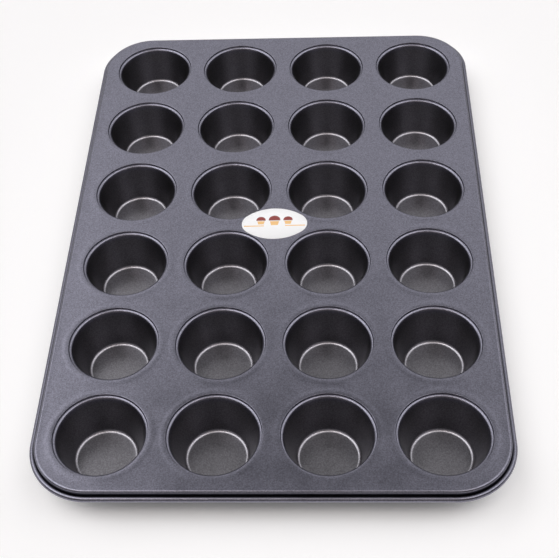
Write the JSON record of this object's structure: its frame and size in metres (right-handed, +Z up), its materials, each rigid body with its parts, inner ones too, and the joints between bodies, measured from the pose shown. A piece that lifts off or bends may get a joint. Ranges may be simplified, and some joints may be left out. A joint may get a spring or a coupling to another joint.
{
  "type": "muffin tin",
  "caption": "Rectangular coated steel baking pan with tapered cups seated in a flanged top plate, a wired rolled rim and an oval paper label.",
  "frame": {"origin": "centre of the pan, on the plane of the cups' undersides that it stands on", "axes": "+X across the short side, +Y along the long side, away from the front edge, +Z up"},
  "size_m": [0.3548, 0.522, 0.0331],
  "materials": {
    "plate_coating": "satin",
    "cup_coating": "satin",
    "wire_steel": "drawn",
    "label_paper": "matt"
  },
  "bodies": {
    "root": {"top_plate": "plate_coating", "rim_wire": "wire_steel", "label": "label_paper", "cup_r1_c1": "cup_coating", "cup_r1_c2": "cup_coating", "cup_r1_c3": "cup_coating", "cup_r1_c4": "cup_coating", "cup_r2_c1": "cup_coating", "cup_r2_c2": "cup_coating", "cup_r2_c3": "cup_coating", "cup_r2_c4": "cup_coating", "cup_r3_c1": "cup_coating", "cup_r3_c2": "cup_coating", "cup_r3_c3": "cup_coating", "cup_r3_c4": "cup_coating", "cup_r4_c1": "cup_coating", "cup_r4_c2": "cup_coating", "cup_r4_c3": "cup_coating", "cup_r4_c4": "cup_coating", "cup_r5_c1": "cup_coating", "cup_r5_c2": "cup_coating", "cup_r5_c3": "cup_coating", "cup_r5_c4": "cup_coating", "cup_r6_c1": "cup_coating", "cup_r6_c2": "cup_coating", "cup_r6_c3": "cup_coating", "cup_r6_c4": "cup_coating"}
  },
  "joints": []
}
